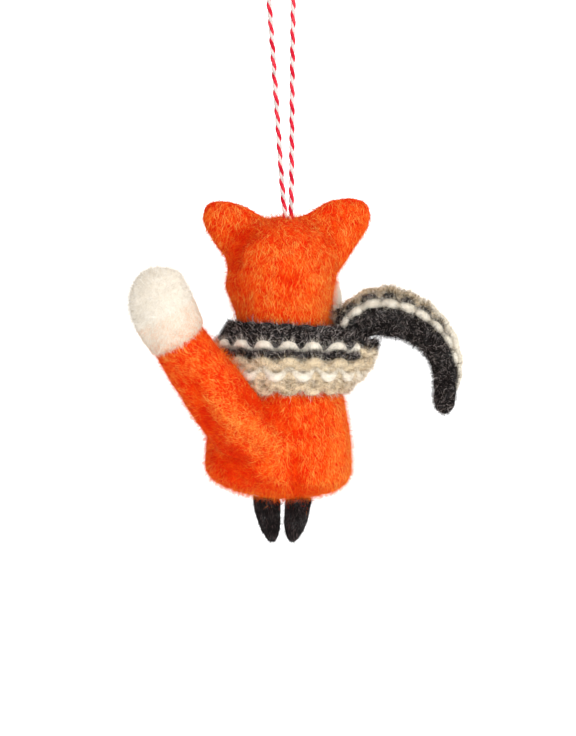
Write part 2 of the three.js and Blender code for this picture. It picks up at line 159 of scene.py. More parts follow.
# How a row of knit bends as its phase goes round, and how much fuller its yarn is where it bends up
BENDS = {
    "wave": (lambda phase: -np.cos(phase), 0.0),
    "arcs": (arched, 0.3),
    "cups": (lambda phase: 1 - 2 * np.abs(np.cos(phase / 2)), -0.3),
    "dashes": (arched, 0.2),
}


# Settings


def colour_setting(name, description, default):
    """A colour that a user may change."""
    return FloatVectorProperty(
        name=name, description=description, subtype="COLOR", default=default, min=0, max=1
    )


def length_setting(name, description, default):
    """A length that a user may change."""
    return FloatProperty(name=name, description=description, unit="LENGTH", default=default)


class FeltSettings(PropertyGroup):
    """Needle-felted wool: its colours, lumps and fibres."""

    orange: colour_setting("Orange", "Main wool", (0.89, 0.100, 0.003))
    cream: colour_setting("Cream", "Pale wool", (0.88, 0.81, 0.70))
    black: colour_setting("Black", "Leg and nose wool", (0.012, 0.010, 0.010))
    voxel: length_setting("Surface step", "Grain of the felt's skin", 0.6 * MM)
    lump_size: length_setting("Lump size", "Width of the felt's soft lumps", 9 * MM)
    lump_height: length_setting("Lump height", "Height of the lumps", 0.9 * MM)
    pit_size: length_setting("Pit size", "Width of the needle's pits", 1.6 * MM)
    pit_height: length_setting("Pit height", "Depth of the needle's pits", 0.5 * MM)
    fibre_length: length_setting("Fibre length", "Length of a bedded fibre", 1.3 * MM)
    fibre_width: length_setting("Fibre width", "Width of a bedded fibre", 0.09 * MM)
    wisp_length: length_setting("Wisp length", "Length of a long pale fibre", 1.8 * MM)
    wisp_width: length_setting("Wisp width", "Width of a long pale fibre", 0.13 * MM)
    stray_length: length_setting("Stray length", "Length of a fibre that stands out", 2.1 * MM)
    stray_width: length_setting("Stray width", "Width of a fibre that stands out", 0.06 * MM)
    fibres_per_mm2: FloatProperty(
        name="Fibres", description="Bedded fibres on a square millimetre", default=5.8
    )
    wisps_per_mm2: FloatProperty(
        name="Wisps", description="Long pale fibres on a square millimetre", default=0.9
    )
    strays_per_mm2: FloatProperty(
        name="Strays", description="Fibres that stand out, on a square millimetre", default=3.6
    )


class ScarfSettings(PropertyGroup):
    """The knitted scarf's yarns and stitches."""

    charcoal: colour_setting("Charcoal yarn", "Dark stripes", (0.012, 0.011, 0.011))
    white: colour_setting("White yarn", "Thin stripes", (0.88, 0.82, 0.70))
    oatmeal: colour_setting("Oatmeal yarn", "Wide pale stripe", (0.86, 0.71, 0.48))
    stitches: IntProperty(name="Stitches", description="Stitches round the neck", default=18)
    end_stitches: IntProperty(name="End stitches", description="Stitches along the free end", default=12)


class TwineSettings(PropertyGroup):
    """The hanging loop's two-ply twine."""

    red: colour_setting("Red ply", "Coloured ply", (0.68, 0.012, 0.035))
    white: colour_setting("White ply", "Plain ply", (0.75, 0.65, 0.61))
    diameter: length_setting("Diameter", "Across both plies", 1.5 * MM)
    pitch: length_setting("Twist pitch", "Length of one full turn of the plies", 5.3 * MM)


class StudioSettings(PropertyGroup):
    """Camera, lamps and backdrop."""

    view_height: length_setting("View height", "Height that the picture takes in", 220.8 * MM)
    distance: length_setting("Camera distance", "From the hanging plane", 0.7)
    key_power: FloatProperty(
        name="Key lamp", description="Power of the large lamp", unit="POWER", default=4.8
    )
    fill_power: FloatProperty(
        name="Fill lamp", description="Power of the fill lamp", unit="POWER", default=2.3
    )
    sky: FloatProperty(name="Sky", description="Strength of the even light", default=0.88)


# Node wiring


class Wiring:
    """Adds nodes to a tree and joins their sockets."""

    def __init__(self, tree):
        self.tree = tree

    def add(self, kind, inputs=None, **settings):
        node = self.tree.nodes.new(kind)
        for name, value in settings.items():
            setattr(node, name, value)
        for key, value in (inputs or {}).items():
            self.feed(node.inputs[key], value)
        return node

    def feed(self, socket, value):
        if isinstance(value, bpy.types.NodeSocket):
            self.tree.links.new(value, socket)
        else:
            socket.default_value = value

    def sums(self, operation, *values):
        return self.add("ShaderNodeMath", dict(enumerate(values)), operation=operation).outputs[0]

    def vector(self, operation, *values, scale=None):
        node = self.add("ShaderNodeVectorMath", dict(enumerate(values)), operation=operation)
        if scale is not None:
            self.feed(node.inputs["Scale"], scale)
        return node.outputs["Value" if operation == "DOT_PRODUCT" else "Vector"]

    def parts(self, vector):
        return self.add("ShaderNodeSeparateXYZ", {0: vector}).outputs

    def noise(self, place, scale, detail, **more):
        inputs = {"Vector": place, "Scale": scale, "Detail": detail, **more}
        return self.add("ShaderNodeTexNoise", inputs).outputs[0]

    def ramp(self, value, *stops):
        node = self.add("ShaderNodeValToRGB", {"Fac": value})
        elements = node.color_ramp.elements
        while len(elements) < len(stops):
            elements.new(0.5)
        for element, (place, colour) in zip(elements, stops):
            element.position = place
            element.color = (*colour, 1)
        return node.outputs["Color"]

    def mixed(self, share, first, second, blend="MIX"):
        node = self.add("ShaderNodeMix", data_type="RGBA", blend_type=blend)
        factor, colours = 0, (6, 7)  # the sockets that a mix of colours uses
        for socket, value in zip((factor, *colours), (share, first, second)):
            self.feed(node.inputs[socket], value)
        return node.outputs[2]

    def place_on_piece(self):
        return self.add("ShaderNodeTexCoord").outputs["Object"]

    def seen(self):
        """1 for what the camera or a polished surface sees, and 0 for what lights other things."""
        rays = self.add("ShaderNodeLightPath").outputs
        return self.sums("MAXIMUM", rays["Is Camera Ray"], rays["Is Glossy Ray"])

    def position(self):
        return self.add("GeometryNodeInputPosition").outputs[0]

    def named(self, name, kind="FLOAT"):
        return self.add("GeometryNodeInputNamedAttribute", {"Name": name}, data_type=kind).outputs[0]

    def store(self, geometry, name, value, kind, domain):
        inputs = {"Geometry": geometry, "Name": name, "Value": value}
        return self.add("GeometryNodeStoreNamedAttribute", inputs, data_type=kind, domain=domain).outputs[0]

    def realized(self, geometry):
        return self.add("GeometryNodeRealizeInstances", {0: geometry}).outputs[0]


def shade(colour, factor, lift=0.0):
    """A colour made darker or lighter, and paler by lift."""
    return tuple(min(1.0, c * factor * (1 - lift) + lift) for c in colour)


# Materials


def principled(name, roughness, specular=0.5):
    """A new material with its wiring and the inputs of its Principled shader."""
    material = bpy.data.materials.new(name)
    material.use_nodes = True
    inputs = material.node_tree.nodes["Principled BSDF"].inputs
    inputs["Roughness"].default_value = roughness
    inputs["Specular IOR Level"].default_value = specular
    return material, Wiring(material.node_tree), inputs


def wool_surface(name, colour, grain=0.5 * MM, dark=None, light=None, streak=1.0):
    """The felt under the loose fibres: mottled, pitted and dull. A streak under 1 draws it out upright."""
    material, wiring, inputs = principled(name, 1.0, 0.05)
    place = wiring.place_on_piece()
    drawn = wiring.vector("MULTIPLY", place, (1.0, 1.0, streak))
    fine = wiring.noise(drawn, 1 / grain, 4.0, Roughness=0.65, Distortion=1.2)
    broad = wiring.noise(place, 1 / (9 * grain), 2.0)
    mottle = wiring.sums("MULTIPLY_ADD", broad, 0.5, wiring.sums("MULTIPLY", fine, 0.5))
    dark = dark or shade(colour, 0.62)
    light = light or shade(colour, 1.1, 0.07)
    tone = wiring.ramp(mottle, (0.36, dark), (0.5, colour), (0.64, light))
    bump = wiring.add("ShaderNodeBump", {"Height": fine, "Strength": 0.7, "Distance": 0.25 * MM})
    wiring.feed(inputs["Base Color"], tone)
    wiring.feed(inputs["Normal"], bump.outputs["Normal"])
    return material


def wool_strand(name, dark, middle, light, middle_at=0.55):
    """Loose fibres: each has its own shade, with painted shade darkening its root where it is bedded in the
    felt.
    """
    material, wiring, inputs = principled(name, 0.9, 0.08)
    spot = wiring.parts(wiring.add("ShaderNodeUVMap", uv_map=SHADE_MAP).outputs["UV"])
    tone = wiring.ramp(spot["X"], (0.05, dark), (middle_at, middle), (0.97, light))
    # Painted shade: a quarter darker at the root, fading out a third of the way to the tip
    root = wiring.ramp(spot["Y"], (0.0, (0.75, 0.75, 0.75)), (0.35, (1, 1, 1)))
    wiring.feed(inputs["Base Color"], wiring.mixed(1.0, tone, root, "MULTIPLY"))
    return material


def felt_wools():
    """The felt and the fibres of the three wools, which pieces take by name."""
    felt = felt_settings()
    orange, cream, black = (tuple(wool) for wool in (felt.orange, felt.cream, felt.black))
    # Painted shade: the felt under the fibres (deep) is darker and redder than the orange wool, so the gaps
    # between the fibres read dark; shadow and glow are its random dark and light mottle
    deep, shadow, glow = (0.80, 0.025, 0.0008), (0.66, 0.006, 0.0004), (0.90, 0.11, 0.005)
    wool_surface("orange_felt", deep, 0.35 * MM, shadow, glow, 0.3)
    wool_strand("orange_fibres", (0.82, 0.014, 0.0006), orange, (0.97, 0.40, 0.07))
    wool_strand("orange_wisps", (0.86, 0.04, 0.001), (0.92, 0.18, 0.012), (0.98, 0.45, 0.10))
    wool_strand("orange_strays", (0.84, 0.08, 0.003), (0.90, 0.14, 0.008), (0.96, 0.34, 0.045))
    wool_surface("cream_felt", cream, 0.5 * MM, shade(cream, 0.92), shade(cream, 1.0, 0.2))
    wool_strand("cream_fibres", shade(cream, 0.92), cream, shade(cream, 1.05, 0.2))
    wool_surface("black_felt", black)
    wool_strand("black_fibres", shade(black, 0.5), black, (0.085, 0.062, 0.06), 0.75)


def bead_glass():
    """The eyes' polished bead, with faint swirls."""
    material, wiring, inputs = principled("polished_bead", 0.1, 0.3)
    swirl = wiring.noise(wiring.place_on_piece(), 900.0, 2.0)
    tone = wiring.ramp(swirl, (0.3, (0.004, 0.004, 0.005)), (0.7, (0.012, 0.010, 0.010)))
    wiring.feed(inputs["Base Color"], tone)
    return material


def pale_paper():
    """The backdrop's paper. What the camera sees of it is brightened to white."""
    material, wiring, inputs = principled("pale_paper", 0.9)
    grain = wiring.noise(wiring.place_on_piece(), 300.0, 3.0)
    tone = wiring.ramp(grain, (0.3, (0.86, 0.86, 0.86)), (0.7, (0.9, 0.9, 0.9)))
    wiring.feed(inputs["Base Color"], tone)
    inputs["Emission Color"].default_value = (1, 1, 1, 1)
    wiring.feed(inputs["Emission Strength"], wiring.sums("MULTIPLY", wiring.seen(), 0.75))
    return material


# Geometry node trees


def new_tree(name, **inputs):
    """The wiring and the inputs of a new geometry tree. The inputs are named under their kinds."""
    tree = bpy.data.node_groups.new(name, "GeometryNodeTree")
    tree.interface.new_socket("Geometry", in_out="OUTPUT", socket_type="NodeSocketGeometry")
    for kind, labels in {"Geometry": ["Geometry"], **inputs, "Material": ["Material"]}.items():
        for label in labels:
            tree.interface.new_socket(label, in_out="INPUT", socket_type="NodeSocket" + kind)
    wiring = Wiring(tree)
    return wiring, wiring.add("NodeGroupInput").outputs


def ended(wiring, given, geometry):
    """The tree, ending in its material."""
    painted = wiring.add("GeometryNodeSetMaterial", {"Geometry": geometry, "Material": given["Material"]})
    wiring.add("NodeGroupOutput", {"Geometry": painted.outputs[0]})
    return wiring.tree


def seeded(wiring, kind, low, high, seed, shift=0):
    """A random value for each element."""
    first, out = {"FLOAT_VECTOR": (0, 0), "FLOAT": (2, 1), "INT": (4, 2)}[kind]
    shifted = wiring.sums("ADD", seed, shift) if shift else seed
    inputs = {first: low, first + 1: high, 8: shifted}
    return wiring.add("FunctionNodeRandomValue", inputs, data_type=kind).outputs[out]


def bumps(wiring, size, height, detail):
    """How far soft bumps of a size rise above the middle of their height."""
    noise = wiring.noise(wiring.position(), wiring.sums("DIVIDE", 1.0, size), detail)
    return wiring.sums("MULTIPLY", wiring.sums("SUBTRACT", noise, 0.5), height)


def moved_out(wiring, geometry, distance):
    """A surface moved along its normals and shaded smooth."""
    normal = wiring.add("GeometryNodeInputNormal").outputs[0]
    offset = wiring.vector("SCALE", normal, scale=distance)
    moved = wiring.add("GeometryNodeSetPosition", {"Geometry": geometry, "Offset": offset})
    return wiring.add("GeometryNodeSetShadeSmooth", {0: moved.outputs[0]}).outputs[0]


def felted_tree():
    """Moves a skin in and out with soft lumps and needle pits."""
    sizes = ["Lump Size", "Lump Height", "Pit Size", "Pit Height", "Draw In"]
    wiring, given = new_tree("Felted surface", Float=sizes)
    lumps = bumps(wiring, given["Lump Size"], given["Lump Height"], 1.0)
    pits = bumps(wiring, given["Pit Size"], given["Pit Height"], 2.0)
    total = wiring.sums("SUBTRACT", wiring.sums("ADD", lumps, pits), given["Draw In"])
    return ended(wiring, given, wiring.realized(moved_out(wiring, given["Geometry"], total)))


def fibre_shape(wiring, steps, slimness, bow, drift, curl):
    """A flat fibre one unit long, tapered, bowed off the surface, drifting aside and curled."""
    strip = wiring.add(
        "GeometryNodeMeshGrid", {"Size X": 1.0, "Size Y": slimness, "Vertices X": steps, "Vertices Y": 2}
    ).outputs
    spot = wiring.parts(wiring.position())
    along = wiring.sums("ADD", spot["X"], 0.5)
    left = wiring.sums("SUBTRACT", 1.0, along)
    taper = wiring.sums("MULTIPLY_ADD", left, 0.75, 0.25)
    across = wiring.sums("MULTIPLY", spot["Y"], taper)
    wave = wiring.sums("SINE", wiring.sums("MULTIPLY", along, TURN))
    swept = wiring.sums("MULTIPLY_ADD", wave, curl, across)
    aside = wiring.sums("MULTIPLY_ADD", wiring.sums("MULTIPLY", along, along), drift, swept)
    rise = wiring.sums("MULTIPLY", wiring.sums("MULTIPLY", along, left), 4 * bow)
    place = wiring.add("ShaderNodeCombineXYZ", {"X": along, "Y": aside, "Z": rise}).outputs[0]
    bent = wiring.add("GeometryNodeSetPosition", {"Geometry": strip["Mesh"], "Position": place}).outputs[0]
    kept = wiring.store(bent, "strip", strip["UV Map"], "FLOAT2", "CORNER")
    return wiring.add("GeometryNodeGeometryToInstance", {0: kept}).outputs[0]


def fibre_tree():
    """Scatters short flat fibres over a skin, lying along its grain and lifted a little."""
    sizes = ["Length", "Length Spread", "Slimness", "Lift", "Lift Spread", "Patch Size"]
    shares = ["Density", "Tangle", "Tone"]
    wiring, given = new_tree("Wool fibres", Int=["Steps", "Seed"], Float=sizes + shares, Vector=["Grain"])
    seed = given["Seed"]
    scatter = wiring.add(
        "GeometryNodeDistributePointsOnFaces",
        {"Mesh": given["Geometry"], "Density": given["Density"], "Seed": seed},
    ).outputs
    normal = scatter["Normal"]
    wander = seeded(wiring, "FLOAT_VECTOR", (-1, -1, -1), (1, 1, 1), seed)
    grain = wiring.vector("ADD", given["Grain"], wiring.named("lay", "FLOAT_VECTOR"))
    heading = wiring.vector("ADD", grain, wiring.vector("SCALE", wander, scale=given["Tangle"]))
    outward = wiring.vector("SCALE", normal, scale=wiring.vector("DOT_PRODUCT", heading, normal))
    lying = wiring.vector("NORMALIZE", wiring.vector("SUBTRACT", heading, outward))
    sway = seeded(wiring, "FLOAT", -1.0, 1.0, seed, 11)
    lift = wiring.sums("MULTIPLY_ADD", sway, given["Lift Spread"], given["Lift"])
    rising = wiring.vector("ADD", lying, wiring.vector("SCALE", normal, scale=lift))
    axes = {"Primary Axis": rising, "Secondary Axis": normal}
    turned = wiring.add("FunctionNodeAxesToRotation", axes, primary_axis="X", secondary_axis="Z")
    stretch = seeded(wiring, "FLOAT", -1.0, 1.0, seed, 23)
    share = wiring.sums("MULTIPLY_ADD", stretch, given["Length Spread"], 1.0)
    shapes = wiring.add("GeometryNodeJoinGeometry")
    for bow, drift, curl in ((0.07, -0.2, 0.04), (0.1, 0.05, -0.07), (0.13, 0.24, 0.05)):
        shape = fibre_shape(wiring, given["Steps"], given["Slimness"], bow, drift, curl)
        wiring.tree.links.new(shape, shapes.inputs[0])
    planted = wiring.add(
        "GeometryNodeInstanceOnPoints",
        {
            "Points": scatter["Points"],
            "Instance": shapes.outputs[0],
            "Pick Instance": True,
            "Instance Index": seeded(wiring, "INT", 0, 2, seed, 37),
            "Rotation": turned.outputs[0],
            "Scale": wiring.sums("MULTIPLY", share, given["Length"]),
        },
    ).outputs[0]
    own = seeded(wiring, "FLOAT", -0.5, 0.5, seed, 51)
    patch_scale = wiring.sums("DIVIDE", 1.0, given["Patch Size"])
    patches = wiring.noise(wiring.position(), patch_scale, 5.0, Roughness=0.75)
    patchy = wiring.sums("MULTIPLY_ADD", patches, 2.2, wiring.sums("SUBTRACT", given["Tone"], 1.1))
    # Painted shade and light: fibres darker over pressed strokes, lighter over raised ones
    mottled_with_painted_shading = wiring.sums("MULTIPLY_ADD", wiring.named("relief_and_painted_shading"), 0.5, patchy)
    varied = wiring.sums("MULTIPLY_ADD", own, 1.6, mottled_with_painted_shading)
    tone = wiring.add("ShaderNodeClamp", {"Value": varied}).outputs[0]
    made = wiring.realized(wiring.store(planted, "tone", tone, "FLOAT", "INSTANCE"))
    strip = wiring.parts(wiring.named("strip", "FLOAT_VECTOR"))
    column = wiring.sums("MULTIPLY", wiring.named("tone"), 0.95)
    across = wiring.sums("ADD", wiring.sums("MULTIPLY_ADD", strip["Y"], 0.03, column), 0.01)
    up = wiring.sums("MULTIPLY_ADD", strip["X"], 0.96, 0.02)
    mapped = wiring.add("ShaderNodeCombineXYZ", {"X": across, "Y": up}).outputs[0]
    return ended(wiring, given, wiring.store(made, SHADE_MAP, mapped, "FLOAT2", "CORNER"))


def strand_tree():
    """Sweeps a round strand along polylines, as thick as their attribute says, with a woolly surface."""
    wiring, given = new_tree("Spun strand", Int=["Sides"], Float=["Fuzz Size", "Fuzz Height"])
    line = wiring.add("GeometryNodeMeshToCurve", {0: given["Geometry"]}).outputs[0]
    ring = wiring.add("GeometryNodeCurvePrimitiveCircle", {"Resolution": given["Sides"], "Radius": 0.5})
    tube = wiring.add(
        "GeometryNodeCurveToMesh",
        {
            "Curve": line,
            "Profile Curve": ring.outputs[0],
            "Scale": wiring.named("thickness"),
            "Fill Caps": True,
        },
    ).outputs[0]
    fuzz = bumps(wiring, given["Fuzz Size"], given["Fuzz Height"], 2.0)
    return ended(wiring, given, wiring.realized(moved_out(wiring, tube, fuzz)))


TREE_MAKERS = {"Felted surface": felted_tree, "Wool fibres": fibre_tree, "Spun strand": strand_tree}


def tree_named(name):
    """A tree by its name, made when it is first asked for."""
    return bpy.data.node_groups.get(name) or TREE_MAKERS[name]()


# Objects and meshes


def linked(name, data):
    """A new object in the scene."""
    obj = bpy.data.objects.new(name, data)
    bpy.context.scene.collection.objects.link(obj)
    return obj


def object_of(part, name):
    """A new object from a bmesh, which is freed."""
    mesh = bpy.data.meshes.new(name)
    part.to_mesh(mesh)
    part.free()
    return linked(name, mesh)


def drop(*objs):
    """Removes helper objects."""
    for obj in objs:
        bpy.data.objects.remove(obj)


def joined(first, *others):
    """Several objects as one, under the first one's name."""
    with bpy.context.temp_override(active_object=first, selected_editable_objects=[first, *others]):
        bpy.ops.object.join()
    return first


def baked_mesh(obj, name):
    """The object's mesh with its modifiers applied."""
    graph = bpy.context.evaluated_depsgraph_get()
    final = obj.evaluated_get(graph)
    mesh = bpy.data.meshes.new_from_object(final, preserve_all_data_layers=True, depsgraph=graph)
    mesh.name = name
    return mesh


def grown(obj, tree_name, values, name):
    """What a tree makes of an object, as a plain mesh object. The object itself stays."""
    tree = tree_named(tree_name)
    modifier = obj.modifiers.new(tree_name, "NODES")
    modifier.node_group = tree
    for item in tree.interface.items_tree:
        if item.in_out == "INPUT" and item.name in values:
            modifier[item.identifier] = values[item.name]
    made = linked(name, baked_mesh(obj, name))
    obj.modifiers.remove(modifier)
    return made


def solid_tree(obj):
    """For finding points on an object's surface."""
    part = bmesh.new()
    part.from_mesh(obj.data)
    tree = BVHTree.FromBMesh(part)
    part.free()
    return tree


def patch_of(skin, name, keep):
    """A helper with only the skin's faces that pass the test of their centre and normal."""
    part = bmesh.new()
    part.from_mesh(skin.data)
    gone = [face for face in part.faces if not keep(face.calc_center_median(), face.normal)]
    bmesh.ops.delete(part, geom=gone, context="FACES")
    return object_of(part, name)


def dress(obj, body, slot, *nodes):
    """Puts a finished piece on its body."""
    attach(obj, body)
    if nodes:
        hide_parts(*nodes)
    return obj


# Paths


def through(points, count):
    """Points evenly spaced on a smooth curve through the given ones."""
    given = np.array(points, float)
    ends = np.vstack([2 * given[0] - given[1], given, 2 * given[-1] - given[-2]])
    fine = []
    for a, b, c, d in zip(ends, ends[1:], ends[2:], ends[3:]):
        t = np.linspace(0, 1, 40, endpoint=False)[:, None]
        squared = (2 * a - 5 * b + 4 * c - d) * t**2
        cubed = (3 * b - a - 3 * c + d) * t**3
        fine.append(0.5 * (2 * b + (c - a) * t + squared + cubed))
    fine = np.vstack([*fine, given[-1:]])
    walked = np.concatenate([[0], np.cumsum(np.linalg.norm(np.diff(fine, axis=0), axis=1))])
    at = np.linspace(0, walked[-1], count)
    return np.stack([np.interp(at, walked, fine[:, k]) for k in range(fine.shape[1])], 1)


def tangents(path):
    """Unit directions along a path."""
    along = np.gradient(path, axis=0)
    return along / np.linalg.norm(along, axis=1, keepdims=True)


def spun(name, lines, material, fuzz_size=0.9 * MM, fuzz_height=0.22 * MM):
    """Strands swept along lines, each given as its points, thickness and whether it closes on itself."""
    points, edges, sizes = [], [], []
    for line, thickness, closed in lines:
        first = len(points)
        points.extend(line)
        sizes.extend(np.broadcast_to(thickness, len(line)))
        edges.extend((first + i, first + i + 1) for i in range(len(line) - 1))
        if closed:
            edges.append((len(points) - 1, first))
    mesh = bpy.data.meshes.new(name + "_lines")
    mesh.from_pydata(points, edges, [])
    keep_values(mesh, "thickness", "FLOAT", np.array(sizes))
    helper = linked(name + "_lines", mesh)
    values = {"Sides": 8, "Fuzz Size": fuzz_size, "Fuzz Height": fuzz_height, "Material": material}
    made = grown(helper, "Spun strand", values, name)
    drop(helper)
    return made


# Shaping, in millimetres


def vertex_values(mesh, name):
    """A vertex property as rows of three numbers."""
    flat = np.empty(len(mesh.vertices) * 3)
    mesh.vertices.foreach_get(name, flat)
    return flat.reshape(-1, 3)


def move_points(mesh, co):
    """Puts a mesh's points at new places."""
    mesh.vertices.foreach_set("co", co.ravel())
    mesh.update()


def keep_values(mesh, name, kind, values):
    """Keeps a value for each point, for the node trees to read."""
    key = "vector" if kind == "FLOAT_VECTOR" else "value"
    mesh.attributes.new(name, kind, "POINT").data.foreach_set(key, values.astype(np.float32).ravel())


def sculpt(mesh, strokes):
    """Raises or presses a skin along strokes drawn on its back, each with its height and width. The heights
    are also kept for the fibres as painted shading: darker where pressed, lighter where raised.
    """
    co = vertex_values(mesh, "co")
    normals = vertex_values(mesh, "normal")
    flat = co[:, (0, 2)] / MM
    facing = np.clip(normals[:, 1] * 2, 0, 1)
    relief_and_painted_shading = np.zeros(len(co))
    for points, height, width in strokes:
        line = through(points, 40)
        far = np.min(np.linalg.norm(flat[:, None] - line[None], axis=2), axis=1)
        relief_and_painted_shading += height * np.exp(-((far / width) ** 2)) * facing
    move_points(mesh, co + normals * MM * relief_and_painted_shading[:, None])
    # The fibres read these heights as painted shade on presses and painted light on raises
    keep_values(mesh, "relief_and_painted_shading", "FLOAT", relief_and_painted_shading)


def comb(mesh, route, reach, strength):
    """Lays the wool along a route, and a little upwards, where the skin is within reach of it."""
    co = vertex_values(mesh, "co") / MM
    line = through(route, 60)
    far = np.linalg.norm(co[:, None] - line[None], axis=2)
    near = np.argmin(far, axis=1)
    fade = 0.35 * reach
    share = np.clip((reach - np.min(far, axis=1)) / fade, 0, 1)
    upwards = np.array([0, 0, 0.6])
    keep_values(mesh, "lay", "FLOAT_VECTOR", (tangents(line)[near] * strength + upwards) * share[:, None])


def soften(mesh, spots, radius, rounds):
    """Smooths a skin about a few spots only."""
    co = vertex_values(mesh, "co")
    edges = np.empty(len(mesh.edges) * 2, np.int64)
    mesh.edges.foreach_get("vertices", edges)
    pairs = edges.reshape(-1, 2)
    ends = np.concatenate([pairs, pairs[:, ::-1]])
    count = np.maximum(np.bincount(ends[:, 0], minlength=len(co)), 1)[:, None]
    far = np.min(np.linalg.norm(co[:, None] - np.array(spots)[None] * MM, axis=2), axis=1) / MM
    pull = np.exp(-((far / radius) ** 2))[:, None] * 0.6
    for _ in range(rounds):
        total = np.stack([np.bincount(ends[:, 0], co[ends[:, 1], k], len(co)) for k in range(3)], 1)
        co += pull * (total / count - co)
    move_points(mesh, co)


def nudge(mesh, *moves):
    """Pushes a skin's outline, as seen from behind, about spots given with their reach and move."""
    co = vertex_values(mesh, "co") / MM
    for (x, z), reach, (across, up) in moves:
        far = np.hypot(co[:, 0] - x, co[:, 2] - z)
        share = np.exp(-((far / reach) ** 2))
        co += share[:, None] * np.array([across, 0, up])
    move_points(mesh, co * MM)


# Felt


def felt_settings():
    """What the user has set for the felt."""
    return bpy.context.scene.ornament_felt


def merged_copy(name, nodes, inflate, plug=None):
    """CAD nodes as one helper object, each blown up a little so that neighbours join."""
    whole = bmesh.new()
    for node in nodes:
        part = bmesh.new()
        part.from_mesh(frame["nodes"][node].data)
        bmesh.ops.remove_doubles(part, verts=part.verts, dist=0.002 * MM)
        part.normal_update()
        for vert in part.verts:
            vert.co += vert.normal * inflate
        held = bpy.data.meshes.new(node)
        part.to_mesh(held)
        part.free()
        whole.from_mesh(held)
        bpy.data.meshes.remove(held)
    if plug:
        plug(whole)
    return object_of(whole, name)


def felt_form(name, nodes, material, draw_in=0.15 * MM, smoothing=14, voxel=None, plug=None, shape=None):
    """A felted skin over CAD nodes, joined, softened, and shaped by lumps and pits."""
    felt = felt_settings()
    inflate = 0.35 * MM
    helper = merged_copy(name + "_form", nodes, inflate, plug)
    remesh = helper.modifiers.new("Remesh", "REMESH")
    remesh.mode = "VOXEL"
    remesh.voxel_size = voxel or felt.voxel
    smooth = helper.modifiers.new("Smooth", "SMOOTH")
    smooth.factor = 0.5
    smooth.iterations = smoothing
    if shape:
        soft = linked(name + "_soft", baked_mesh(helper, name + "_soft"))
        drop(helper)
        helper = soft
        shape(helper.data)
    values = {
        "Lump Size": felt.lump_size, "Lump Height": felt.lump_height,
        "Pit Size": felt.pit_size, "Pit Height": felt.pit_height,
        "Draw In": inflate + draw_in, "Material": material,
    }
    made = grown(helper, "Felted surface", values, name)
    drop(helper)
    return made


def fibres(skin, name, material, seed, density, length, width, **changes):
    """Fibres on a skin, so many on a square millimetre. Changes name other inputs of the tree."""
    values = {
        "Steps": 3, "Density": density / MM**2, "Length": length, "Length Spread": 0.5,
        "Slimness": width / length, "Lift": 0.10, "Lift Spread": 0.2, "Grain": (0.0, 0.0, -0.8),
        "Tangle": 0.55, "Patch Size": 3.5 * MM, "Tone": 0.5, "Seed": seed, "Material": material,
    }
    for key, value in changes.items():
        values[key.replace("_", " ").title()] = value
    return grown(skin, "Wool fibres", values, name)


def coat(skin, strands, seed, size=1.0, share=1.0):
    """A skin's coat: bedded fibres, and the long wisps and standing strays as a second object."""
    felt = felt_settings()
    bed, wisp, stray = strands
    bedded = fibres(
        skin, skin.name + "_fibres", bed, seed, felt.fibres_per_mm2, felt.fibre_length * size,
        felt.fibre_width,
    )
    wisps = fibres(
        skin, skin.name + "_wisps", wisp, seed + 100, share * felt.wisps_per_mm2, felt.wisp_length * size,
        felt.wisp_width, steps=4,
    )
    strays = fibres(
        skin, skin.name + "_strays", stray, seed + 150, felt.strays_per_mm2, felt.stray_length * size,
        felt.stray_width, lift=1.3, tangle=0.8, lift_spread=0.6,
    )
    return bedded, joined(wisps, strays)


def large_piece(name, nodes, seed, share, fill, **form):
    """An orange skin over several CAD nodes, and its coat as pieces of their own."""
    wool = bpy.data.materials
    skin = felt_form(name, nodes, wool["orange_felt"], **form)
    strands = [wool["orange_" + kind] for kind in ("fibres", "wisps", "strays")]
    for piece in coat(skin, strands, seed, share=share):
        dress(piece, "fox", "wool_orange")
    dress(skin, "fox", "wool_orange", *nodes)
    return skin


def small_piece(node, wool, seed, fill, **form):
    """A skin over one CAD node in a wool, and its shorter coat."""
    slot = "wool_" + wool
    skin = felt_form(node + "_felt", [node], bpy.data.materials[wool + "_felt"], **form)
    strand = bpy.data.materials[wool + "_fibres"]
    dress(joined(*coat(skin, [strand] * 3, seed, 0.7)), "fox", slot)
    dress(skin, "fox", slot, node)
    return skin


# Operators


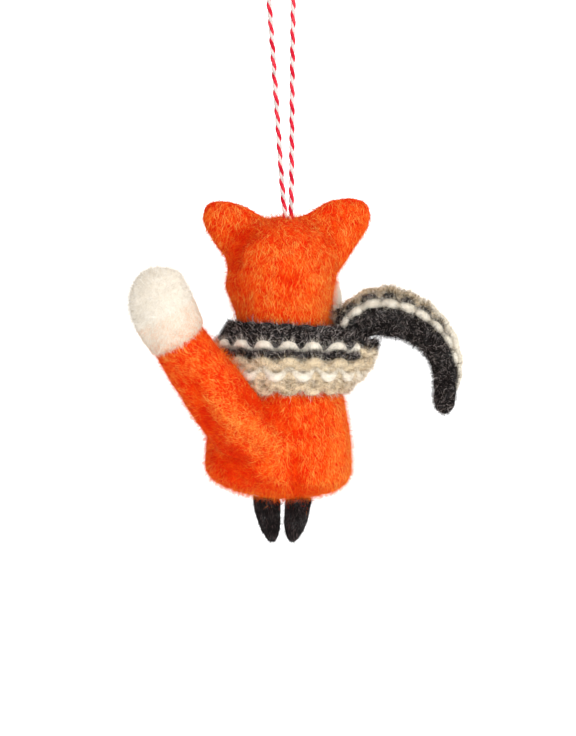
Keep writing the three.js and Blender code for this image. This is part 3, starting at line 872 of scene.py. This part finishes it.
class ORNAMENT_OT_studio(Operator):
    """Sets up the camera at the photograph's angle, soft lamps and a pale backdrop"""

    bl_idname = "ornament.studio"
    bl_label = "Studio"

    def execute(self, context):
        settings = context.scene.ornament_studio
        self.camera(context.scene, settings)
        self.lamps(settings)
        self.sky(context.scene, settings)
        self.backdrop()
        context.scene.view_settings.view_transform = "Standard"
        return {"FINISHED"}

    def camera(self, scene, settings):
        data = bpy.data.cameras.new("camera")
        data.sensor_width = 36
        data.lens = data.sensor_width * settings.distance / settings.view_height
        obj = linked("camera", data)
        middle_of_view = Vector((-2.1, 0, -116.4)) * MM
        obj.location = middle_of_view + BACK * settings.distance
        obj.rotation_euler = (math.pi / 2, 0, math.pi)
        scene.camera = obj

    def lamps(self, settings):
        aim = Vector((0, 0, -0.12))
        lamps = {
            "key": ((-0.55, 0.66, 0.12), settings.key_power, 0.8),
            "fill": ((0.12, 0.75, -0.4), settings.fill_power, 0.8),
            "front": ((-0.3, -0.8, 0.3), settings.key_power, 0.6),
        }
        for name, (place, power, size) in lamps.items():
            data = bpy.data.lights.new(name, "AREA")
            data.energy = power
            data.size = size
            obj = linked(name, data)
            obj.location = place
            obj.rotation_euler = (aim - obj.location).to_track_quat("-Z", "Y").to_euler()

    def sky(self, scene, settings):
        world = bpy.data.worlds.new("sky")
        world.use_nodes = True
        scene.world = world
        wiring = Wiring(world.node_tree)
        ground = world.node_tree.nodes["Background"].inputs
        ground["Color"].default_value = (1, 1, 1, 1)
        strength = wiring.sums("MULTIPLY_ADD", wiring.seen(), 1 - settings.sky, settings.sky)
        wiring.feed(ground["Strength"], strength)

    def backdrop(self):
        """A floor that curves up into a wall behind the fox."""
        floor, wall, top, bend, half_width, near = -0.9, -1.4, 1.2, 0.4, 2.6, 1.4
        turn = [math.radians(90 * i / 12) for i in range(13)]
        curve = [(wall + bend - bend * math.sin(a), floor + bend - bend * math.cos(a)) for a in turn]
        profile = [(near, floor), *curve, (wall, top)]
        points = [(x, y, z) for x in (-half_width, half_width) for y, z in profile]
        count = len(profile)
        faces = [(i, i + 1, count + i + 1, count + i) for i in range(count - 1)]
        mesh = bpy.data.meshes.new("backdrop")
        mesh.from_pydata(points, [], faces)
        mesh.polygons.foreach_set("use_smooth", [True] * len(faces))
        mesh.materials.append(pale_paper())
        return linked("backdrop", mesh)


class ORNAMENT_OT_twine(Operator):
    """Twists the hanging loop from its two plies and ties the stopper knot inside the head"""

    bl_idname = "ornament.twine"
    bl_label = "Twine loop"

    def execute(self, context):
        settings = context.scene.ornament_twine
        route = [(x * MM, 0, z * MM) for x, z in TWINE_ROUTE]
        sunk = 2.4 * MM
        route = [(route[0][0], 0, route[0][2] - sunk), *route, (route[-1][0], 0, route[-1][2] - sunk)]
        path = through(route, 520)
        length = float(np.linalg.norm(np.diff(path, axis=0), axis=1).sum())
        red = wool_surface("twine_red", tuple(settings.red), 0.25 * MM)
        white = wool_surface("twine_white", tuple(settings.white), 0.25 * MM)
        plies = [
            self.ply("twine_loop_cord", path, length, settings, red, start=0, share=0.76),
            self.ply("twine_loop_white", path, length, settings, white, start=math.pi, share=0.66),
        ]
        loop = dress(joined(*plies), "hanger", "twine", "twine_loop")
        dress(self.knot(settings.diameter * 0.95, white), "anchor", "twine", "twine_anchor")
        return {"FINISHED"}

    def ply(self, name, path, length, settings, material, start, share):
        """One ply, a share of the twine thick, wound round the route with a left-hand twist."""
        reach = 0.19 * settings.diameter
        walked = np.linspace(0, length, len(path))
        angle = start - TURN * walked / settings.pitch
        aside = np.array([0.0, 1.0, 0.0])
        other = np.cross(tangents(path), aside)
        line = path + reach * (np.cos(angle)[:, None] * aside + np.sin(angle)[:, None] * other)
        return spun(name, [(line, settings.diameter * share, False)], material, 0.5 * MM, 0.12 * MM)

    def knot(self, thickness, material):
        """The buried strands and the knot under them."""
        low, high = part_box("twine_anchor")
        middle = (low + high) / 2
        knot_height = low.z + 3.0 * MM
        lobe, depth = 0.84 * MM, 1.375
        turn = np.linspace(0.05, 0.95, 90) * TURN
        across = np.sin(turn) + 2 * np.sin(2 * turn)
        deep = np.cos(turn) - 2 * np.cos(2 * turn)
        around = np.stack([across, deep, -depth * np.sin(3 * turn)], 1)
        lines = [(around * lobe + np.array([middle.x, middle.y, knot_height]), thickness, False)]
        for side in (-1, 1):
            x = middle.x + side * 0.95 * MM
            stem = [(x, middle.y, z) for z in np.linspace(knot_height, high.z - 0.2 * MM, 12)]
            lines.append((stem, thickness, False))
        return spun("twine_anchor_knot", lines, material)


class ORNAMENT_OT_head(Operator):
    """Felts the head with its ears and muzzle, and adds the pale cheeks, ear linings and nose"""

    bl_idname = "ornament.head"
    bl_label = "Head and face"

    def execute(self, context):
        felt_wools()
        nodes = ["head", "ear_left", "ear_right", "muzzle"]
        large_piece(
            "head_felt", nodes, seed=1, share=1.6, fill=0.9, plug=self.fill_pocket, shape=self.shape_ears
        )
        pad = {"fill": 0.9, "draw_in": 0.0, "smoothing": 6, "voxel": 0.4 * MM}
        for seed, node in enumerate(("cheek_left", "cheek_right", "inner_ear_left", "inner_ear_right"), 10):
            shape = self.lower_cheek if node == "cheek_right" else None
            small_piece(node, "cream", seed, shape=shape, **pad)
        small_piece("nose", "black", seed=20, **pad)
        return {"FINISHED"}

    def fill_pocket(self, whole):
        """Closes the felt round the buried twine, leaving a dimple at the crown."""
        radius, top, depth = 4.4 * MM, 1.1 * MM, 15 * MM
        made = bmesh.ops.create_cone(
            whole, cap_ends=True, segments=20, radius1=radius, radius2=radius, depth=depth
        )
        shift = CROWN - UP * (top + depth / 2)
        bmesh.ops.translate(whole, verts=made["verts"], vec=shift)

    def shape_ears(self, mesh):
        """Runs the ears into the head, with a fold at the foot of the left one. The strokes also paint the
        fibres: painted shade along the fold, the dips and the pressed nape stroke, painted light along the
        raised nape stroke.
        """
        soften(mesh, [(13, 4, -83), (9, 6, -77), (-15, 4, -84), (-11, 6, -77)], 6.5, 60)
        crown = [((4.5, -71), 4.5, (0, -0.9)), ((-7.5, -71), 4.5, (0, -0.9))]
        ears = [((-14.5, -66.5), 5.0, (0, 0.9)), ((12.5, -67), 4.0, (0, 0.4))]
        left_cheek = [((17.5, -85.5), 4.0, (-0.8, 0)), ((17, -92), 3.5, (0.8, 0))]
        left_neck = ((14, -102), 4.5, (-0.9, 0))
        nudge(mesh, *crown, *ears, *left_cheek, left_neck)
        fold = ([(10, -75.5), (13.8, -79), (15, -84)], -1.8, 2.7)
        dips = [([(-15.5, -72), (-15.5, -76)], -0.5, 2.5), ([(-2, -88.5), (-2.2, -93)], -0.6, 3.0)]
        nape = [([(14, -90), (12.5, -97), (9, -103)], -0.6, 3.5), ([(-10.5, -91), (-11.5, -100)], 0.5, 3.5)]
        sculpt(mesh, [fold, *nape, *dips])

    def lower_cheek(self, mesh):
        """Draws the right cheek down to the scarf."""
        nudge(mesh, ((-15.8, -100.5), 3.5, (-1.3, -2.8)))


class ORNAMENT_OT_eyes(Operator):
    """Sets the two polished beads"""

    bl_idname = "ornament.eyes"
    bl_label = "Eyes"

    def execute(self, context):
        material = bead_glass()
        flatness = 0.92
        for node in ("eye_left", "eye_right"):
            low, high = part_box(node)
            radius = (high.x - low.x) / 2
            middle = Vector(((low.x + high.x) / 2, low.y + radius, (low.z + high.z) / 2))
            whole = bmesh.new()
            bmesh.ops.create_icosphere(whole, subdivisions=4, radius=radius)
            for vert in whole.verts:
                vert.co.y *= flatness
                vert.co += middle
            bead = object_of(whole, node + "_bead")
            bead.data.polygons.foreach_set("use_smooth", [True] * len(bead.data.polygons))
            bead.data.materials.append(material)
            dress(bead, "fox", "bead", node)
        return {"FINISHED"}


class ORNAMENT_OT_body(Operator):
    """Felts the torso with its tail, the tail's pale tip, the chest bib and the legs"""

    bl_idname = "ornament.body"
    bl_label = "Body, tail and legs"

    def execute(self, context):
        nodes = ["torso", "tail"]
        torso = large_piece(
            "torso_felt", nodes, seed=30, share=0.6, fill=0.95, smoothing=26, shape=self.shape_back
        )
        limb = {"fill": 0.95, "draw_in": 0.25 * MM, "voxel": 0.45 * MM}
        tip = small_piece("tail_tip", "cream", seed=40, smoothing=28, shape=self.blunt_tip, **limb)
        self.tip_haze(tip)
        small_piece("chest_bib", "cream", seed=41, smoothing=8, **limb)
        for seed, node in enumerate(("leg_left", "leg_right"), 50):
            leg = small_piece(node, "black", seed, smoothing=8, shape=self.lean_legs, **limb)
            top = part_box(node)[1].z - 4 * MM
            orange = bpy.data.materials["orange_fibres"]
            self.overlap(leg, lambda spot, _: spot.z > top, orange, seed + 10, "wool_orange", 0.3)
        peach = wool_strand("peach_fibres", (0.92, 0.30, 0.10), (0.92, 0.56, 0.34), (0.90, 0.70, 0.52))
        blush = wool_strand("blush_fibres", (0.92, 0.58, 0.38), (0.92, 0.69, 0.52), (0.92, 0.76, 0.62))
        for reach, density, strand in ((1.5, 7.0, peach), (4.0, 4.0, peach), (9.0, 9.0, blush)):
            self.overlap(tip, self.near("tail", reach), strand, int(60 + reach), "wool_orange", density)
        self.overlap(torso, self.near("tail_tip", 1.6), peach, 66, "wool_cream", 5.0)
        return {"FINISHED"}

    def tip_haze(self, tip):
        """Pale fibres that stand out round the tail tip's end."""
        pale = wool_strand("cream_haze", (0.88, 0.82, 0.72), (0.95, 0.91, 0.84), (1.0, 0.98, 0.95))
        by_tail = self.near("tail", 9.0)
        far_end = patch_of(tip, "tail_tip_far_end", lambda spot, normal: not by_tail(spot, normal))
        haze = fibres(
            far_end, "tail_tip_haze", pale, seed=45, density=6.0, length=1.6 * MM, width=0.056 * MM,
            lift=1.6, lift_spread=0.6, tangle=1.0,
        )
        drop(far_end)
        dress(haze, "fox", "wool_cream")

    def overlap(self, skin, keep, material, seed, slot, density):
        """Fibres of the neighbouring wool that were needled over a piece's edge."""
        part = patch_of(skin, skin.name + "_edge", keep)
        length = felt_settings().fibre_length
        name = f"{skin.name}_overlap_{seed}"
        made = fibres(part, name, material, seed, density, length, 0.045 * length, tangle=1.2)
        drop(part)
        dress(made, "fox", slot)

    def near(self, node, reach):
        """A test for faces within reach of a CAD node, in millimetres."""
        tree = solid_tree(frame["nodes"][node])
        return lambda spot, _: tree.find_nearest(spot, reach * MM)[0] is not None

    def blunt_tip(self, mesh):
        """Fills out the tail tip's round end on the side of the head, and beds its foot in the tail."""
        nudge(mesh, ((30.5, -89.5), 3.5, (-1.3, 0.6)), ((30, -108.5), 9.0, (-0.6, -0.9)))

    def lean_legs(self, mesh):
        """Brings the toes closer together than the tops of the legs."""
        nudge(mesh, ((5, -168), 6.0, (-0.9, 0)), ((-5, -168), 5.0, (0.5, 0)), ((-5, -157), 4.0, (-0.6, 0)))

    def shape_back(self, mesh):
        """The tail's ridge running out over the rump, its hollows, and the groove above the legs. The
        strokes also paint the fibres: painted shade in the hollows, the groove, the rump and under the
        tail, painted light on the ridge and the flank.
        """
        ridge = ([(17.7, -127.5), (9, -133.5), (-1.7, -140)], 1.3, 4.0)
        upper_hollow = ([(9, -124), (2, -130), (-3, -136)], -1.0, 3.2)
        lower_hollow = ([(21, -133), (19.5, -140), (13, -145)], -1.5, 3.8)
        groove = ([(-4.2, -141), (-4.6, -147), (-4.8, -155)], -1.9, 1.7)
        rump = ([(17, -148), (8, -151.5), (0, -155), (-10, -155)], -1.2, 3.5)
        flank = ([(-18, -123), (-19.5, -148)], 1.0, 4.5)
        under_tail = ([(25.5, -122), (22, -129)], -0.9, 2.6)
        sculpt(mesh, [ridge, upper_hollow, lower_hollow, groove, rump, flank, under_tail])
        tail_route = [(6.6, 9, -140.2), (17.2, 16.5, -126.2), (31.4, 24.5, -105.2), (36, 27, -87)]
        comb(mesh, tail_route, 13, 1.2)


class ORNAMENT_OT_scarf(Operator):
    """Knits the scarf's wrap and its free end in striped yarn"""

    bl_idname = "ornament.scarf"
    bl_label = "Scarf"

    def execute(self, context):
        settings = context.scene.ornament_scarf
        self.spin_yarns(settings)
        self.wrap(settings)
        self.free_end(settings)
        return {"FINISHED"}

    def spin_yarns(self, settings):
        """The materials of each yarn, of its fuzz and of the haze that stands off it."""
        charcoal, white, oatmeal = (tuple(c) for c in (settings.charcoal, settings.white, settings.oatmeal))
        grain, fleck = 0.35 * MM, (0.30, 0.19, 0.10)
        self.yarns = {
            "charcoal": wool_surface("charcoal_yarn", charcoal, grain),
            "white": wool_surface("white_yarn", white, grain),
            "oatmeal": wool_surface("oatmeal_yarn", oatmeal, grain, fleck),
        }
        soot, ash = (0.022, 0.016, 0.015), (0.88, 0.77, 0.72)
        self.fuzz = {
            "charcoal": wool_strand("charcoal_fuzz", (0.006, 0.004, 0.004), soot, ash, 0.75),
            "white": wool_strand("white_fuzz", (0.70, 0.61, 0.47), white, (0.93, 0.89, 0.81)),
            "oatmeal": wool_strand("oatmeal_fuzz", (0.20, 0.12, 0.055), oatmeal, (0.97, 0.90, 0.76), 0.5),
        }
        brown, dust = (0.035, 0.025, 0.021), (0.6, 0.52, 0.48)
        dark_haze = wool_strand("charcoal_haze", (0.008, 0.006, 0.006), brown, dust)
        self.haze = {**self.fuzz, "charcoal": dark_haze}

    def wrap(self, settings):
        """The wrap's ground and its rows of loops."""
        cad = solid_tree(frame["nodes"]["scarf_wrap"])
        ground = felt_form(
            "scarf_wrap_ground", ["scarf_wrap"], self.ground_wool(settings), draw_in=1.0 * MM, smoothing=10
        )
        rows = {yarn: [] for yarn in self.yarns}
        for row in WRAP_ROWS:
            line = self.round_row(cad, settings.stitches, row)
            full = self.fullness(row.bend, len(line), settings.stitches) * row.thick * MM
            if row.selvedge:
                plain, edge = self.split_at_fold(line, full)
                rows[row.yarn].append(plain)
                rows[row.selvedge].append(edge)
            else:
                rows[row.yarn].append((line, full, True))

        def outside(spot, normal):
            return normal.dot((spot - NECK) * LEVEL) > -3 * MM

        self.finish_knit("scarf_wrap", ground, rows, 70, outside, lambda piece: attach(piece, "scarf"))
        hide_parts("scarf_wrap")

    def ground_wool(self, settings):
        """The wrap's ground: charcoal above and oatmeal below, with an edge that rises past the fold."""
        material = wool_surface("wrap_ground", tuple(settings.charcoal), 0.6 * MM)
        wiring = Wiring(material.node_tree)
        base = material.node_tree.nodes["Principled BSDF"].inputs["Base Color"]
        fold, slope = -24.5 * MM, -1.2
        spot = wiring.parts(wiring.place_on_piece())
        past_fold = wiring.sums("MAXIMUM", wiring.sums("SUBTRACT", fold, spot["X"]), 0.0)
        height = wiring.sums("MULTIPLY_ADD", past_fold, slope, spot["Z"])
        edge, blur = CROWN.z - 43 * MM, 0.4 * MM
        span = {"Value": height, "From Min": edge - blur, "From Max": edge + blur}
        share = wiring.add("ShaderNodeMapRange", span).outputs[0]
        # Painted shade: the oatmeal ground is darker than the oatmeal yarn, for the gaps between the rows
        pale = (*shade(tuple(settings.oatmeal), 0.85), 1)
        wiring.feed(base, wiring.mixed(share, pale, base.links[0].from_socket))
        return material

    def round_row(self, cad, count, row):
        """One row of loops round the neck, lying on the wrap's outside."""
        reach = 80 * MM

        def radius_at(angle, z):
            out = Vector((math.cos(angle), math.sin(angle), 0))
            hit = cad.ray_cast(Vector((NECK.x, NECK.y, z)) + out * reach, -out)[0]
            return ((hit - NECK) * LEVEL).length if hit else None

        height = CROWN.z + row.height * MM
        middle, lowest, rise_of_knit = CROWN.z - 42 * MM, CROWN.z - 53 * MM, 20 * MM
        angles = np.linspace(0, TURN, 181)
        radii = np.array([radius_at(a, middle) for a in angles])
        walked = np.concatenate([[0], np.cumsum((radii[1:] + radii[:-1]) / 2 * np.diff(angles))])
        phase = np.linspace(0, TURN * count, count * STITCH_STEPS, endpoint=False)
        along = phase / (TURN * count) + (row.lean * np.sin(2 * phase) + row.shift) / count
        angle = np.interp(along % 1 * walked[-1], walked, angles)
        upper = np.clip((height - lowest) / rise_of_knit, 0, 1)
        tilt = (0.9 * upper * np.cos(angle) + (1 - upper) * (1 - np.abs(np.sin(angle)))) * MM
        bent = BENDS[row.bend][0](phase)
        rise = height + tilt + row.wave * MM / 2 * bent
        sunk = (row.raised - 0.3 * row.thick) * MM
        line = []
        radius = 20 * MM
        for a, z, out in zip(angle, rise, sunk + row.front * MM * bent):
            radius = radius_at(a, z) or radius
            line.append((NECK.x + (radius + out) * math.cos(a), NECK.y + (radius + out) * math.sin(a), z))
        return line

    def split_at_fold(self, line, full):
        """A round row as two open ones: past the fold's selvedge, and raised and fuller along it."""
        lift, fuller = 1.0 * MM, 1.15
        turn = [math.degrees(math.atan2(y - NECK.y, x - NECK.x)) % 360 for x, y, _ in line]
        first, last = (next(i for i, angle in enumerate(turn) if angle > edge) for edge in FOLD_ANGLES)
        rest = (line[last:] + line[:first], np.concatenate([full[last:], full[:first]]), False)
        raised = [(x, y, z + lift) for x, y, z in line[first:last]]
        return rest, (raised, full[first:last] * fuller, False)

    def fullness(self, bend, samples, count):
        """How full the yarn is along a row of stitches."""
        shape, swell = BENDS[bend]
        return 1 + swell * shape(np.linspace(0, TURN * count, samples))

    def run_out(self, samples, thin):
        """A row's thickness along it: down to the share thin in its second half, with a round end."""
        way = np.linspace(0, 1, samples)
        slimmer = 1 - (1 - thin) * np.clip(2 * way - 1, 0, 1)
        ending = np.clip((way - 0.97) / 0.03, 0, 1)
        return slimmer * np.sqrt(1 - 0.95 * ending**2)

    def free_end(self, settings):
        """The free end's ground and the rows of stitches on its two faces."""
        cad = solid_tree(frame["nodes"]["scarf_end"])
        ground = felt_form(
            "scarf_end_ground", ["scarf_end"], self.yarns["charcoal"], draw_in=0.8 * MM, smoothing=8,
            voxel=0.45 * MM, shape=self.clear_cheek,
        )
        route = np.array([SCARF_ROOT + Vector(p) * MM for p in END_ROUTE])
        rows = {yarn: [] for yarn in self.yarns}
        back_face = [(row, 1) for row in (*END_ROWS, ROOT_STUB)]
        front_face = [(row, -1) for row in END_ROWS]
        for row, side in back_face + front_face:
            line = self.end_row(cad, route, settings.end_stitches, row, side)
            first, last = int(len(line) * row.since), int(len(line) * row.until)
            full = self.fullness(row.bend, len(line), settings.end_stitches)[first:last]
            size = full * self.run_out(last - first, row.thin) * row.thick * MM
            rows[row.yarn].append((line[first:last], size, False))
        middle = SCARF_ROOT.y + 1.5 * MM

        def outside(spot, normal):
            by_cheek = spot.x > SCARF_ROOT.x - 8 * MM and normal.y < 0.3
            return normal.y * (spot.y - middle) > -0.65 * abs(spot.y - middle) and not by_cheek

        self.finish_knit(
            "scarf_end", ground, rows, 90, outside,
            lambda piece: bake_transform(piece), dim=0.14, haze=1.8,
        )
        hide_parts("scarf_end")

    def clear_cheek(self, mesh):
        """Draws the ground out from beside the cheek at its root."""
        nudge(mesh, ((-15.4, -98.5), 3.5, (-3.0, -2.0)))

    def end_row(self, cad, route, count, row, side):
        """One row of stitches along the free end's back face (side 1) or its front face (side -1)."""
        thick, reach = row.thick * MM, 30
        samples = count * STITCH_STEPS
        spine = through(route, samples)
        half = through([(w * MM,) for w in END_HALF_WIDTHS], samples)[:, 0]
        outer = np.cross([0.0, 1.0, 0.0], tangents(spine))
        phase = np.linspace(0, TURN * count, samples)
        way = np.linspace(0, 1, samples)
        hooked = row.hook * np.clip(1 - way / 0.085, 0, 1) ** 1.5
        share = np.interp(way, np.linspace(0, 1, len(row.across)), row.across) - hooked
        rounded = np.sqrt(np.clip(1 - np.clip((way - 0.88) / 0.12, 0, 1) ** 2, 0.12, 1))
        bent = BENDS[row.bend][0](phase)
        offset = (half - 0.5 * thick) * share * rounded + row.wave * MM / 2 * bent
        line = []
        for point, out, far, bulge in zip(spine, outer, offset, row.front * MM * bent - 0.3 * thick):
            spot = Vector(point + out * far)
            hit = cad.ray_cast(spot + BACK * side * reach * MM, -BACK * side)[0]
            y = hit.y if hit else spot.y
            line.append((spot.x, y + side * bulge, spot.z))
        hidden_at_root = 6 if side > 0 else 24
        return line[hidden_at_root:-3]

    def finish_knit(self, name, ground, rows, seed, seen, hold, dim=0.0, haze=1.0):
        """Spins each colour's rows, adds their fuzz where it is seen and hands every piece to hold."""
        self.made = []
        for colour, lines in rows.items():
            yarn = spun(f"{name}_{colour}", lines, self.yarns[colour])
            outside = patch_of(yarn, "outside", seen)
            layers = []
            for i, layer in enumerate(FUZZ[colour]):
                standing = layer is FUZZ[colour][-1]
                strand = (self.haze if standing else self.fuzz)[colour]
                density = layer.density * (haze if standing else 1.0)
                layers.append(
                    fibres(
                        outside, f"{name}_{colour}_fuzz", strand, seed + 20 * i, density, layer.length * MM,
                        layer.width * MM, lift=layer.lift, lift_spread=0.5, tone=layer.tone - dim,
                        grain=(0.0, 0.0, 0.3), tangle=1.0, patch_size=1.5 * MM,
                    )
                )
            hair = joined(*layers)
            drop(outside)
            seed += 1
            self.made += [yarn, hair]
        for piece in (ground, *self.made):
            hold(piece)


class ORNAMENT_PT_pieces(Panel):
    """Lists the ornament's pieces and their settings"""

    bl_idname = "ORNAMENT_PT_pieces"
    bl_label = "Fox ornament"
    bl_space_type = "VIEW_3D"
    bl_region_type = "UI"
    bl_category = "Ornament"

    def draw(self, context):
        for operator in OPERATORS:
            self.layout.operator(operator.bl_idname)
        for name in SETTINGS:
            box = self.layout.box()
            group = getattr(context.scene, name)
            for key in group.__annotations__:
                box.prop(group, key)


SETTINGS = {
    "ornament_felt": FeltSettings,
    "ornament_scarf": ScarfSettings,
    "ornament_twine": TwineSettings,
    "ornament_studio": StudioSettings,
}
OPERATORS = (
    ORNAMENT_OT_studio,
    ORNAMENT_OT_twine,
    ORNAMENT_OT_head,
    ORNAMENT_OT_eyes,
    ORNAMENT_OT_body,
    ORNAMENT_OT_scarf,
)


def register():
    for kind in (*SETTINGS.values(), *OPERATORS, ORNAMENT_PT_pieces):
        bpy.utils.register_class(kind)
    for name, kind in SETTINGS.items():
        setattr(bpy.types.Scene, name, PointerProperty(type=kind))


def unregister():
    for name in SETTINGS:
        delattr(bpy.types.Scene, name)
    for kind in (ORNAMENT_PT_pieces, *OPERATORS, *SETTINGS.values()):
        bpy.utils.unregister_class(kind)


def main():
    register()
    bpy.ops.ornament.studio()
    bpy.ops.ornament.twine()
    bpy.ops.ornament.head()
    bpy.ops.ornament.eyes()
    bpy.ops.ornament.body()
    bpy.ops.ornament.scarf()


if __name__ == "__main__":
    main()
